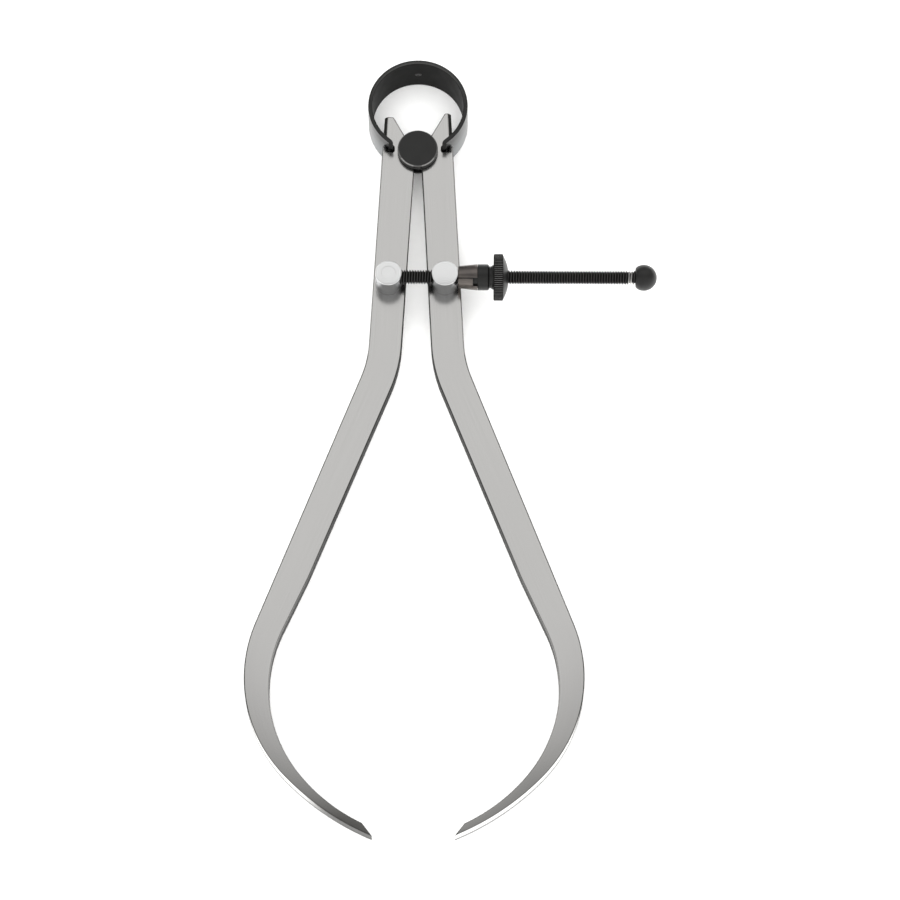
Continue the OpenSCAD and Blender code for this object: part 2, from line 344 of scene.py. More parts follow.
def rounded(profile, radius, steps):
    """A profile of (radius, along) points with its outer corners rounded, its inner ones sharp."""
    out = []
    points = [Vector(p) for p in profile]
    for i, corner in enumerate(points):
        before, after = points[i - 1], points[(i + 1) % len(points)]
        if corner.x < ON_AXIS or (corner - before).cross(after - corner) < 0:
            out.append(tuple(corner))
            continue
        # a corner takes less than half of each side, so that its neighbours have room
        reach = min(radius, (before - corner).length / 2.1, (after - corner).length / 2.1)
        start = corner + (before - corner).normalized() * reach
        end = corner + (after - corner).normalized() * reach
        for k in range(steps + 1):
            t = k / steps
            out.append(tuple((1 - t) ** 2 * start + 2 * t * (1 - t) * corner + t * t * end))
    return out


def node_tree(name, sockets):
    """An empty geometry tree with a geometry in and out and named inputs."""
    tree = bpy.data.node_groups.new(name, "GeometryNodeTree")
    tree.interface.new_socket("Geometry", in_out="INPUT", socket_type="NodeSocketGeometry")
    for label, kind in sockets.items():
        tree.interface.new_socket(label, in_out="INPUT", socket_type="NodeSocket" + kind)
    tree.interface.new_socket("Geometry", in_out="OUTPUT", socket_type="NodeSocketGeometry")
    return tree, add(tree, "NodeGroupInput").outputs


def close_tree(tree, geometry, material):
    """Ends a geometry tree: real geometry, its material, out."""
    real = add(tree, "GeometryNodeRealizeInstances", {"Geometry": geometry})
    dressed = add(tree, "GeometryNodeSetMaterial", {"Geometry": real, "Material": material})
    add(tree, "NodeGroupOutput", {"Geometry": dressed})


def grow(piece, tree, values):
    """Runs a geometry tree on a piece with its inputs set by name."""
    modifier = piece.modifiers.new(tree.name, "NODES")
    modifier.node_group = tree
    for item in tree.interface.items_tree:
        if item.in_out == "INPUT" and item.name in values:
            modifier[item.identifier] = values[item.name]
    settle(piece)


def own_float(piece, name, value_of):
    """Stores a number for each point of a piece, worked out from the point."""
    values = [value_of(vertex) for vertex in piece.data.vertices]
    piece.data.attributes.new(name, "FLOAT", "POINT").data.foreach_set("value", values)


def hand_over(piece, body, node):
    """Gives a finished piece its body and hides the CAD node it stands for."""
    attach(piece, body)
    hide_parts(node)


# Finishes


def ground_tool_steel():
    """Flat tool steel, surface ground: a soft grey sheen with fine lines along the leg.
    Its sheared sides are painted dark as painted shade, except round the bow, where the sides
    facing the front carry a painted highlight."""
    material, tree = new_material("ground tool steel")
    place = add(tree, "ShaderNodeTexCoord").outputs["Object"]
    grain = add(tree, "ShaderNodeUVMap", uv_map="grain")
    # grinding lines are about 0.05 mm apart, drawn 0.4 mm apart so that they show, 40 mm long
    lines = add(
        tree,
        "ShaderNodeMapping",
        {"Vector": grain, "Scale": (1 / (40 * MM), 1 / (0.4 * MM), 1)},
    )
    fine = add(
        tree,
        "ShaderNodeTexNoise",
        {"Vector": lines, "Scale": 1.0, "Detail": 3.0, "Roughness": 0.6},
    )
    # hand polish leaves cloudy patches about 30 mm across
    cloud = add(
        tree, "ShaderNodeTexNoise", {"Vector": place, "Scale": 1 / (30 * MM), "Detail": 2.0}
    )
    face = add(
        tree,
        "ShaderNodeMix",
        {"Factor": fine, "A": linear("#BCBBB9"), "B": linear("#C9C8C6")},
        data_type="RGBA",
    )
    # the bows get darker over their last 65 mm, to the tips
    darkening_fac = add(tree, "ShaderNodeAttribute", attribute_name="hardening").outputs["Fac"]
    darker_tip = add(
        tree,
        "ShaderNodeMix",
        {"Factor": darkening_fac, "A": face, "B": linear("#5E5D5B")},
        data_type="RGBA",
    )
    # the sides round the bow that face the front carry a painted highlight, near white
    sides = add(tree, "ShaderNodeAttribute", attribute_name="side_shade_and_highlight").outputs["Fac"]
    side_highlight = add(
        tree, "ShaderNodeMapRange", {"Value": sides, "From Min": 0.0, "From Max": -1.0}
    )
    bright = add(
        tree,
        "ShaderNodeMix",
        {"Factor": side_highlight, "A": darker_tip, "B": linear("#F3F3F1")},
        data_type="RGBA",
    )
    sheen = add(tree, "ShaderNodeMapRange", {"Value": fine, "To Min": 0.15, "To Max": 0.25})
    patch = add(tree, "ShaderNodeMapRange", {"Value": cloud, "To Min": -0.04, "To Max": 0.04})
    rough = add(tree, "ShaderNodeMath", {0: sheen, 1: patch}, operation="ADD")
    bump = add(
        tree, "ShaderNodeBump", {"Height": fine, "Strength": 0.12, "Distance": 0.02 * MM}
    )
    steel = add(
        tree,
        "ShaderNodeBsdfPrincipled",
        {"Metallic": 1.0, "Base Color": bright, "Roughness": rough, "Normal": bump},
    )
    # the other sides are painted shade: a dull black, mottled about 1.5 mm across
    mottle = add(
        tree, "ShaderNodeTexNoise", {"Vector": place, "Scale": 1 / (1.5 * MM), "Detail": 3.0}
    )
    shade_mottled = add(
        tree,
        "ShaderNodeMix",
        {"Factor": mottle, "A": linear("#141413"), "B": linear("#383836")},
        data_type="RGBA",
    )
    dull = add(
        tree,
        "ShaderNodeBsdfPrincipled",
        {"Base Color": shade_mottled, "Roughness": 0.6, "Specular IOR Level": 0.1},
    )
    surface = add(tree, "ShaderNodeMixShader", {0: sides, 1: steel, 2: dull})
    add(tree, "ShaderNodeOutputMaterial", {"Surface": surface})
    return material


def bright_turned_steel():
    """Bar steel turned on a lathe: near-white ends with faint rings from the tool, a painted
    highlight on the broken edge round each end, and sides left as drawn, a duller grey than the
    ends."""
    material, tree = new_material("bright turned steel")
    place = add(tree, "ShaderNodeTexCoord").outputs
    # both posts stand the same way out from the fulcrum, so one pattern serves them
    centred = add(
        tree,
        "ShaderNodeVectorMath",
        {0: place["Object"], 1: (FULCRUM.x, SCREW_Y, 0)},
        operation="SUBTRACT",
    )
    halves = add(tree, "ShaderNodeVectorMath", {0: centred}, operation="ABSOLUTE")
    local = add(
        tree,
        "ShaderNodeVectorMath",
        {0: halves, 1: (RIGHT_POST.x - FULCRUM.x, 0, 0)},
        operation="SUBTRACT",
    )
    flat = add(tree, "ShaderNodeVectorMath", {0: local, 1: (1, 1, 0)}, operation="MULTIPLY")
    radius = add(tree, "ShaderNodeVectorMath", {0: flat}, operation="LENGTH")
    # feed marks are about 0.1 mm apart, drawn 0.5 mm apart so that they show
    rings = add(
        tree, "ShaderNodeMath", {0: radius, 1: 2 * math.pi / (0.5 * MM)}, operation="MULTIPLY"
    )
    wave = add(tree, "ShaderNodeMath", {0: rings}, operation="SINE")
    # handling has worn them in patches about 1.6 mm across
    wear_and_sheen = add(
        tree,
        "ShaderNodeTexNoise",
        {"Vector": place["Object"], "Scale": 1 / (1.6 * MM), "Detail": 3.0},
    )
    marks = add(tree, "ShaderNodeMath", {0: wave, 1: wear_and_sheen}, operation="MULTIPLY")
    tone = add(tree, "ShaderNodeMapRange", {"Value": marks, "From Min": -0.6, "From Max": 0.6})
    end = add(
        tree,
        "ShaderNodeMix",
        {"Factor": tone, "A": linear("#D3D4D4"), "B": linear("#F1F1F0")},
        data_type="RGBA",
    )
    # which way a face looks tells the end from its broken edge, and both from the sides; the broken
    # edge is painted near white as a highlight
    up = add(tree, "ShaderNodeSeparateXYZ", {"Vector": place["Normal"]}).outputs["Z"]
    faced = add(tree, "ShaderNodeMapRange", {"Value": up, "From Min": 0.2, "From Max": 0.7})
    level = add(tree, "ShaderNodeMapRange", {"Value": up, "From Min": 0.9, "From Max": 0.99})
    edge_highlighted = add(
        tree,
        "ShaderNodeMix",
        {"Factor": level, "A": linear("#FCFCFB"), "B": end},
        data_type="RGBA",
    )
    whole = add(
        tree,
        "ShaderNodeMix",
        {"Factor": faced, "A": linear("#A6A7A8"), "B": edge_highlighted},
        data_type="RGBA",
    )
    satin = add(tree, "ShaderNodeMapRange", {"Value": wear_and_sheen, "To Min": 0.14, "To Max": 0.3})
    rough = add(
        tree, "ShaderNodeMix", {"Factor": faced, "A": 0.3, "B": satin}, data_type="FLOAT"
    )
    bump = add(
        tree, "ShaderNodeBump", {"Height": marks, "Strength": 0.05, "Distance": 0.02 * MM}
    )
    steel = add(
        tree,
        "ShaderNodeBsdfPrincipled",
        {"Metallic": 1.0, "Base Color": whole, "Roughness": rough, "Normal": bump},
    )
    add(tree, "ShaderNodeOutputMaterial", {"Surface": steel})
    return material


def black_oxide_steel():
    """Steel blackened in a hot oxide bath and oiled: near black, with a soft oily gloss
    that brightens at a glancing angle."""
    material, tree = new_material("black oxide steel")
    place = add(tree, "ShaderNodeTexCoord").outputs["Object"]
    # the oxide grows unevenly, in patches about 3 mm across
    patch = add(
        tree, "ShaderNodeTexNoise", {"Vector": place, "Scale": 1 / (3 * MM), "Detail": 4.0}
    )
    # a fine tooth from the bath, about 0.1 mm, drawn 0.25 mm so that it shows
    tooth = add(
        tree, "ShaderNodeTexNoise", {"Vector": place, "Scale": 1 / (0.25 * MM), "Detail": 2.0}
    )
    oxide = add(
        tree,
        "ShaderNodeMix",
        {"Factor": patch, "A": linear("#0B0B0A"), "B": linear("#161615")},
        data_type="RGBA",
    )
    rough = add(tree, "ShaderNodeMapRange", {"Value": patch, "To Min": 0.3, "To Max": 0.46})
    bump = add(
        tree, "ShaderNodeBump", {"Height": tooth, "Strength": 0.15, "Distance": 0.02 * MM}
    )
    # crests and edges that rub show the steel, unevenly; the same mark also paints highlights on
    # the roller's rim, the bow's inner edge and the ends of the knurl teeth
    rubbed = add(tree, "ShaderNodeAttribute", attribute_name="wear_and_sheen").outputs["Fac"]
    shows = add(tree, "ShaderNodeMath", {0: rubbed, 1: tooth}, operation="MULTIPLY")
    bare = add(
        tree,
        "ShaderNodeMix",
        {"Factor": shows, "A": oxide, "B": linear("#B9B8B6")},
        data_type="RGBA",
    )
    steel = add(
        tree,
        "ShaderNodeBsdfPrincipled",
        {
            "Metallic": shows,
            "Base Color": bare,
            "Roughness": rough,
            "Normal": bump,
            "Specular IOR Level": 0.36,
        },
    )
    add(tree, "ShaderNodeOutputMaterial", {"Surface": steel})
    return material


def dull_oxide_steel():
    """Dry black oxide, dark and almost without gloss; inside the bow it is painted shade."""
    material, tree = new_material("dull oxide steel")
    place = add(tree, "ShaderNodeTexCoord").outputs["Object"]
    # patches about 4 mm across
    patch = add(
        tree, "ShaderNodeTexNoise", {"Vector": place, "Scale": 1 / (4 * MM), "Detail": 4.0}
    )
    oxide = add(
        tree,
        "ShaderNodeMix",
        {"Factor": patch, "A": linear("#0A0A09"), "B": linear("#131312")},
        data_type="RGBA",
    )
    rough = add(tree, "ShaderNodeMapRange", {"Value": patch, "To Min": 0.4, "To Max": 0.55})
    steel = add(
        tree,
        "ShaderNodeBsdfPrincipled",
        {"Base Color": oxide, "Roughness": rough, "Specular IOR Level": 0.05},
    )
    add(tree, "ShaderNodeOutputMaterial", {"Surface": steel})
    return material


def painted_reflection_oxide_steel():
    """Outside of the bow: black oxide, but towards the hooks a painted reflection of the pale
    floor, a grey satin metal that gets paler towards the back edge."""
    material, tree = new_material("painted reflection oxide steel")
    low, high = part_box("bow_spring")
    place = add(tree, "ShaderNodeTexCoord").outputs["Object"]
    # the painted reflection is streaked along the strip, in streaks about 12 mm long and 1.5 mm
    # wide
    rub = add(
        tree,
        "ShaderNodeMapping",
        {"Vector": place, "Scale": (1 / (12 * MM), 1 / (12 * MM), 1 / (1.5 * MM))},
    )
    streak = add(tree, "ShaderNodeTexNoise", {"Vector": rub, "Scale": 1.0, "Detail": 3.0})
    height = add(tree, "ShaderNodeSeparateXYZ", {"Vector": place}).outputs
    back = add(
        tree,
        "ShaderNodeMapRange",
        {"Value": height["Z"], "From Min": high.z - 1.0 * MM, "From Max": low.z},
        interpolation_type="SMOOTHSTEP",
    )
    # the painted reflection is full up to 5 mm past the fulcrum and gone by 15 mm
    toward_hooks = add(
        tree,
        "ShaderNodeMapRange",
        {
            "Value": height["Y"],
            "From Min": FULCRUM.y + 15 * MM,
            "From Max": FULCRUM.y + 5 * MM,
        },
        interpolation_type="SMOOTHSTEP",
    )
    rubbed = add(tree, "ShaderNodeMath", {0: back, 1: toward_hooks}, operation="MULTIPLY")
    wear_and_sheen = add(
        tree,
        "ShaderNodeMix",
        {"Factor": streak, "A": linear("#7F8183"), "B": linear("#9B9D9F")},
        data_type="RGBA",
    )
    colour = add(
        tree,
        "ShaderNodeMix",
        {"Factor": rubbed, "A": linear("#2B2B2A"), "B": wear_and_sheen},
        data_type="RGBA",
    )
    rough = add(tree, "ShaderNodeMapRange", {"Value": streak, "To Min": 0.24, "To Max": 0.4})
    steel = add(
        tree,
        "ShaderNodeBsdfPrincipled",
        {"Metallic": 1.0, "Base Color": colour, "Roughness": rough},
    )
    add(tree, "ShaderNodeOutputMaterial", {"Surface": steel})
    return material


def bare_thread_steel():
    """Threads rubbed bare of their oxide by the nut: bright, a little scratched."""
    material, tree = new_material("bare thread steel")
    place = add(tree, "ShaderNodeTexCoord").outputs["Object"]
    # scratches come in patches about 0.8 mm across, a thread's width
    rub = add(
        tree, "ShaderNodeTexNoise", {"Vector": place, "Scale": 1 / (0.8 * MM), "Detail": 3.0}
    )
    colour = add(
        tree,
        "ShaderNodeMix",
        {"Factor": rub, "A": linear("#8E8D8B"), "B": linear("#DEDDDB")},
        data_type="RGBA",
    )
    rough = add(tree, "ShaderNodeMapRange", {"Value": rub, "To Min": 0.2, "To Max": 0.4})
    steel = add(
        tree,
        "ShaderNodeBsdfPrincipled",
        {"Metallic": 1.0, "Base Color": colour, "Roughness": rough},
    )
    add(tree, "ShaderNodeOutputMaterial", {"Surface": steel})
    return material


def rolled_ferrule_steel():
    """Sheet steel rolled to a cone and oiled: brownish grey, scuffed along its length."""
    material, tree = new_material("rolled ferrule steel")
    place = add(tree, "ShaderNodeTexCoord").outputs["Object"]
    # scuffs run along the screw, about 5 mm long and 0.5 mm wide
    stretched = add(
        tree,
        "ShaderNodeMapping",
        {"Vector": place, "Scale": (1 / (5 * MM), 1 / (0.5 * MM), 1 / (0.5 * MM))},
    )
    scuff = add(tree, "ShaderNodeTexNoise", {"Vector": stretched, "Scale": 1.0, "Detail": 4.0})
    # oil has stained it in patches about 2.5 mm across
    stain = add(
        tree, "ShaderNodeTexNoise", {"Vector": place, "Scale": 1 / (2.5 * MM), "Detail": 2.0}
    )
    warm = add(
        tree,
        "ShaderNodeMix",
        {"Factor": stain, "A": linear("#615D5B"), "B": linear("#756E69")},
        data_type="RGBA",
    )
    sharp = add(tree, "ShaderNodeMapRange", {"Value": scuff, "From Min": 0.5, "From Max": 1.1})
    colour = add(
        tree,
        "ShaderNodeMix",
        {"Factor": sharp, "A": warm, "B": linear("#8E8983")},
        data_type="RGBA",
    )
    rough = add(tree, "ShaderNodeMapRange", {"Value": scuff, "To Min": 0.24, "To Max": 0.36})
    steel = add(
        tree,
        "ShaderNodeBsdfPrincipled",
        {"Metallic": 1.0, "Base Color": colour, "Roughness": rough},
    )
    add(tree, "ShaderNodeOutputMaterial", {"Surface": steel})
    return material


def finish(make):
    """A finish made once and shared by the pieces that have it."""
    return bpy.data.materials.get(make.__name__.replace("_", " ")) or make()


def dress(piece, *finishes):
    """Gives a piece its finishes, in the order that its faces count them."""
    piece.data.materials.clear()
    for make in finishes:
        piece.data.materials.append(finish(make))


# Legs

# middle line of the right leg with the tips closed, from the fulcrum, in millimetres: straight
# down the limb, then round the knee, the bow and the tip, each with its centre, its radius
# (negative where the centre is outside) and its angles in degrees
LIMB = ((5.48, 12), (5.48, -30), (5.48, -59.3))
ARCS = (
    ((42.88, -59.3), -37.4, (4.5, 9, 13.5, 18.15)),
    ((-5.98, -157.1), 40.6, range(18, -45, -3)),
    ((-16.8, -146.3), 55.9, range(-46, -74, -3)),
)
# how far each leg stands open as the tool lies
OPEN_ANGLE = math.radians(3.12)
# distances along that line, from its upper end, that bound the painted shade and highlight on the
# sides and the darkening of the bows
OUTER_SHADE_FADE_TO = 75 * MM
HIGHLIGHT_FROM = 140 * MM
INNER_SHADE_FADE = (125 * MM, 170 * MM)
TIP_DARKENING = (158 * MM, 224 * MM)
LEFT_TIP_SHADE = (210 * MM, 219 * MM)
# height of the strip, half in painted shade, along the back of each side with the painted highlight
BACK_OF_SIDE = 1.2 * MM


def leg_line():
    """Points down the middle of the right leg as it lies, from the fulcrum, in metres."""
    points = [Vector(p) for p in LIMB]
    for centre, radius, angles in ARCS:
        for a in (math.radians(angle) for angle in angles):
            points.append(Vector(centre) + radius * Vector((math.cos(a), math.sin(a))))
    cos, sin = math.cos(OPEN_ANGLE), math.sin(OPEN_ANGLE)
    return [Vector((p.x * cos - p.y * sin, p.x * sin + p.y * cos)) * MM for p in points]


class CALIPER_OT_legs(bpy.types.Operator):
    """Builds both legs with broken edges, a grain along them and sheared sides in painted shade and
    highlight
    """

    bl_idname = "caliper.legs"
    bl_label = "Build legs"

    def execute(self, context):
        settings = context.scene.caliper_legs
        for node, side in (("left_leg", -1), ("right_leg", 1)):
            leg = cad_copy(node, "leg_" + node.split("_")[0])
            soften(leg, settings.edge_break, 4)
            reshape(leg, lambda work: self.cut_slabs(work, *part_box(node), settings.slab))
            self.lay_grain(leg, *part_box(node), side)
            dress(leg, ground_tool_steel)
            shade(leg)
            hand_over(leg, node, node)
        return {"FINISHED"}

    def cut_slabs(self, work, low, high, slab):
        """Cuts a leg across into short slabs, so that the grain can follow its curve, and round its
        sides, where the half-shaded back of each highlighted side begins."""
        for part in (1.0, 1.25):
            cut(work, (0, 0, low.z + part * BACK_OF_SIDE), Z_AXIS)
        level = low.y + slab
        while level < high.y:
            cut(work, (0, level, 0), (0, 1, 0))
            level += slab

    def lay_grain(self, leg, low, high, side):
        """Writes how far along and across the leg each point lies, the painted shade and highlight
        on its sides, and how much darker it is towards the tip."""
        line = leg_line()
        places = []
        for vertex in leg.data.vertices:
            point = Vector((side * (vertex.co.x - FULCRUM.x), vertex.co.y - FULCRUM.y))
            places.append(self.place(point, line))
        layer = leg.data.uv_layers.new(name="grain")
        for loop in leg.data.loops:
            layer.data[loop.index].uv = places[loop.vertex_index]
        own_float(leg, "side_shade_and_highlight", lambda v: self.tone(v, low, high, side, *places[v.index]))
        own_float(leg, "hardening", lambda v: self.hardening(side, *places[v.index]))

    def place(self, point, line):
        """How far along a line a point lies, and how far off it, positive to its outside."""
        best, run = None, 0.0
        for a, b in zip(line, line[1:]):
            span = (b - a).length
            way = (b - a) / span
            t = min(max((point - a).dot(way), 0.0), span)
            away = point - a - t * way
            if best is None or away.length < best[0]:
                best = (away.length, run + t, way.x * away.y - way.y * away.x)
            run += span
        return best[1:]

    def hardening(self, side, along, across):
        """How much darker a point is: more to the tip and the outside, most on the left."""
        reach = ramp(along, *TIP_DARKENING)
        darkest = 1.0 if side < 0 else 0.6
        # 5 mm out from the middle it is a fifth darker
        outside = 0.2 * reach * across / (5 * MM)
        return max(0.0, min(reach**1.7, darkest) + outside)

    def tone(self, vertex, low, high, side, along, across):
        """1 where a point's side is painted in shade, -1 where it carries a painted highlight, 0 on
        the flats.
        """
        depth = (high.z - low.z) / 2 - abs(vertex.co.z - (low.z + high.z) / 2)
        if depth < 0.001 * MM:
            return 0.0
        if across < 0:
            # round the bow the painted shade on the inner side is lighter at the rim, more and more
            # to the tip, and full from 0.4 mm in
            return 1.0 - ramp(along, *INNER_SHADE_FADE) * max(0.85 - depth / (0.5 * MM), 0.0)
        # above the knee the painted shade on the outer sides is lighter at the rim too, but not as
        # far in
        if along < OUTER_SHADE_FADE_TO:
            return min(0.2 + depth / (0.25 * MM), 1.0)
        if along < HIGHLIGHT_FROM:
            return 1.0
        # round the bow the side carries a painted highlight where it faces away from the fulcrum:
        # bright in front, half in painted shade at the back and, on the left, shaded towards the
        # tip
        away = ramp(-vertex.normal.y, 0.2, 0.45)
        dull = ramp(along, *LEFT_TIP_SHADE) if side < 0 else 0.0
        front = vertex.co.z > low.z + 1.1 * BACK_OF_SIDE
        ground = -1.0 + 1.5 * dull if front else 0.5 + 0.1 * dull
        return 1.0 + (ground - 1.0) * away


# Fulcrum and bow spring


class CALIPER_OT_fulcrum(bpy.types.Operator):
    """Builds the turned roller that the legs hinge on"""

    bl_idname = "caliper.fulcrum"
    bl_label = "Build fulcrum roller"

    def execute(self, context):
        low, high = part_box("fulcrum_roller")
        leg_low, leg_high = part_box("left_leg")
        head = (high.x - low.x) / 2
        groove, collar, rounding = 3.8 * MM, 4.4 * MM, 0.6 * MM
        bottom, top = low.z - FULCRUM.z, high.z - FULCRUM.z
        back, front = leg_low.z - LEG_GAP - FULCRUM.z, leg_high.z + LEG_GAP - FULCRUM.z
        profile = [
            (0, bottom),
            (collar, bottom),
            (collar, back),
            (groove, back),
            (groove, front),
            (head, front),
            (head, top),
            (0, top),
        ]
        roller = turned("roller", rounded(profile, rounding, 6), Z_AXIS, FULCRUM, 128)
        rim = 0.3 * MM

        def rubbed(vertex):
            """The front rim is bare steel as a painted highlight, strongest on the arcs either side
            of the gap between the legs.
            """
            away = vertex.co - FULCRUM
            if vertex.co.z <= high.z - rim or away.xy.length <= head - rim:
                return 0.0
            off_gap = math.degrees(abs(math.atan2(away.x, -away.y)))
            return 0.75 if 14 < off_gap < 58 else 0.25

        own_float(roller, "wear_and_sheen", rubbed)
        dress(roller, black_oxide_steel)
        shade(roller)
        hand_over(roller, "fulcrum", "fulcrum_roller")
        return {"FINISHED"}


def strip_tree():
    """Geometry tree that bends a flat strip with rounded edges along a line."""
    tree, given = node_tree(
        "bent strip",
        {
            "Width": "Float",
            "Thickness": "Float",
            "Edge Radius": "Float",
            "Material": "Material",
        },
    )
    path = add(tree, "GeometryNodeMeshToCurve", {"Mesh": given["Geometry"]})
    upright = add(tree, "GeometryNodeSetCurveNormal", {"Curve": path}, mode="Z_UP")
    section = add(
        tree,
        "GeometryNodeCurvePrimitiveQuadrilateral",
        {"Width": given["Thickness"], "Height": given["Width"]},
        mode="RECTANGLE",
    )
    eased = add(
        tree,
        "GeometryNodeFilletCurve",
        {"Curve": section, "Radius": given["Edge Radius"], "Count": 4},
        mode="POLY",
    )
    strip = add(
        tree,
        "GeometryNodeCurveToMesh",
        {"Curve": upright, "Profile Curve": eased, "Fill Caps": True},
    )
    close_tree(tree, strip, given["Material"])
    return tree


class CALIPER_OT_bow_spring(bpy.types.Operator):
    """Builds the bow spring as two halves, one for each leg"""

    bl_idname = "caliper.bow_spring"
    bl_label = "Build bow spring"

    def execute(self, context):
        settings = context.scene.caliper_spring
        tree = strip_tree()
        for body, side in (("left_leg", -1), ("right_leg", 1)):
            self.half(settings, tree, body, side)
        return {"FINISHED"}

    def half(self, settings, tree, body, side):
        """One half of the bow, from the crown to the hook that sits in its leg."""
        low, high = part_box("bow_spring")
        middle = settings.radius - settings.thickness / 2
        centre = FULCRUM + Vector((0, settings.centre, 0))
        lift = (low.z + high.z) / 2 - FULCRUM.z
        points = [centre + Vector((side * x, y, lift)) for x, y in self.path(settings, middle)]

        def draw(work):
            made = [work.verts.new(p) for p in points]
            for pair in zip(made, made[1:]):
                work.edges.new(pair)

        half = new_piece("spring_" + body.split("_")[0], draw)
        grow(
            half,
            tree,
            {
                "Width": high.z - low.z,
                "Thickness": settings.thickness,
                "Edge Radius": settings.edge_radius,
                "Material": finish(black_oxide_steel),
            },
        )
        skin = 0.45 * settings.thickness

        def part(work):
            """Tells the inside and the outside of the strip from its edges."""
            bmesh.ops.remove_doubles(work, verts=work.verts, dist=SAME_POINT)
            for face in work.faces:
                away = (face.calc_center_median() - centre).xy.length - middle
                # inside faces take the dull oxide as painted shade, outside faces the painted floor
                # reflection
                face.material_index = 1 if away < -skin else 2 if away > skin else 0
            if side < 0:
                self.dimple(work, settings, centre + Vector((0, middle, points[0].z - centre.z)))
            bmesh.ops.recalc_face_normals(work, faces=work.faces)

        dress(half, black_oxide_steel, dull_oxide_steel, painted_reflection_oxide_steel)
        reshape(half, part)
        inner = middle - 0.3 * settings.thickness
        front = high.z - 0.25 * MM

        def rubbed(vertex):
            """A painted highlight along the inside of the front edge, strongest over the crown."""
            away = (vertex.co - centre).xy
            on_edge = vertex.co.z > front and away.length < inner
            return max(0.0, 0.09 * away.y / away.length) if on_edge else 0.0

        own_float(half, "wear_and_sheen", rubbed)
        shade(half)
        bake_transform(half)
        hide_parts("bow_spring")

    def dimple(self, work, settings, crown):
        """A shallow dish with a raised lip, punched inside the crown."""
        inside = crown - Vector((0, settings.thickness / 2, 0))
        r = settings.dimple
        profile = [
            (0, -0.1 * MM),
            (1.7 * r, -0.1 * MM),
            (1.7 * r, 0.0),
            (1.3 * r, 0.13 * MM),
            (1.0 * r, 0.16 * MM),
            (0.7 * r, 0.1 * MM),
            (0.4 * r, 0.02 * MM),
            (0, 0.01 * MM),
        ]
        lathe(work, profile, Vector((0, -1, 0)), inside, 32)

    def path(self, settings, middle):
        """Middle of the strip from the crown to the hooked end, from the bow's centre."""
        end = settings.end_angle
        steps = 70
        line = []
        # a very short first step keeps the shading even where the halves meet
        for i in [0, 0.05] + list(range(1, steps + 1)):
            angle = math.pi / 2 - (math.pi / 2 + end) * i / steps
            line.append((middle * math.cos(angle), middle * math.sin(angle)))
        out = Vector((math.cos(end), -math.sin(end)))
        down = Vector((-math.sin(end), -math.cos(end)))
        radius = settings.hook_radius
        hook = (middle + radius) * out + settings.ramp * down
        steps = 10
        for i in range(steps + 1):
            angle = math.pi - end + settings.hook_turn * i / steps
            line.append((hook.x + radius * math.cos(angle), hook.y + radius * math.sin(angle)))
        return line


# Posts, screw and nut


class CALIPER_OT_posts(bpy.types.Operator):
    """Builds the swivel posts and the plug that locks the screw"""

    bl_idname = "caliper.posts"
    bl_label = "Build posts"

    def execute(self, context):
        settings = context.scene.caliper_posts
        for node, axis in (("left_post", LEFT_POST), ("right_post", RIGHT_POST)):
            profile = self.profile(settings, node)
            if node == "left_post":
                profile = self.bored(profile)
            post = turned("post_" + node.split("_")[0], profile, Z_AXIS, axis)
            self.drill(post, axis, settings.hole)
            dress(post, bright_turned_steel)
            shade(post)
            hand_over(post, node, node)
        plug = cad_copy("lock_plug", "plug")
        soften(plug, 0.06 * MM)
        dress(plug, bright_turned_steel)
        shade(plug)
        hand_over(plug, "left_post", "lock_plug")
        return {"FINISHED"}

    def profile(self, settings, node):
        """Outline of a post from the bottom of its rivet to its front, from the screw's height."""
        low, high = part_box(node)
        leg_low, leg_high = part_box("left_leg")
        radius = (high.x - low.x) / 2
        back, foot = leg_low.z - LEG_GAP, leg_high.z + LEG_GAP
        edge = settings.edge
        ease = 0.2 * MM
        outline = [
            (0, low.z),
            (settings.rivet / 2, low.z),
            (settings.rivet, (2 * back + low.z) / 3),
            (settings.rivet, back),
            (settings.shank, back),
            (settings.shank, foot),
            (radius - ease, foot),
            (radius, foot + ease),
        ]
        steps = 4
        for i in range(steps + 1):
            angle = math.pi / 2 * i / steps
            across, up = edge * math.cos(angle), edge * math.sin(angle)
            outline.append((radius - edge + across, high.z - edge + up))
        outline.append((0, high.z))
        return [(r, z - SCREW_Z) for r, z in outline]

    def bored(self, profile):
        """The same outline with a bore in its front for the plug."""
        low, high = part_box("lock_plug")
        floor = low.z - SCREW_Z - 0.01 * MM
        bore = (high.x - low.x) / 2 + 0.02 * MM
        top = profile[-1][1]
        return profile[:-1] + [(bore, top), (bore, floor), (0, floor)]

    def drill(self, post, axis, radius):
        """Cuts the hole that the screw passes through."""
        reach = 6 * MM
        profile = [(0, -reach), (radius, -reach), (radius, reach), (0, reach)]
        bit = turned("drill", profile, X_AXIS, axis, 48)
        hole = post.modifiers.new("screw hole", "BOOLEAN")
        hole.object = bit
        hole.operation = "DIFFERENCE"
        hole.solver = "EXACT"
        settle(post)
        bpy.data.objects.remove(bit)


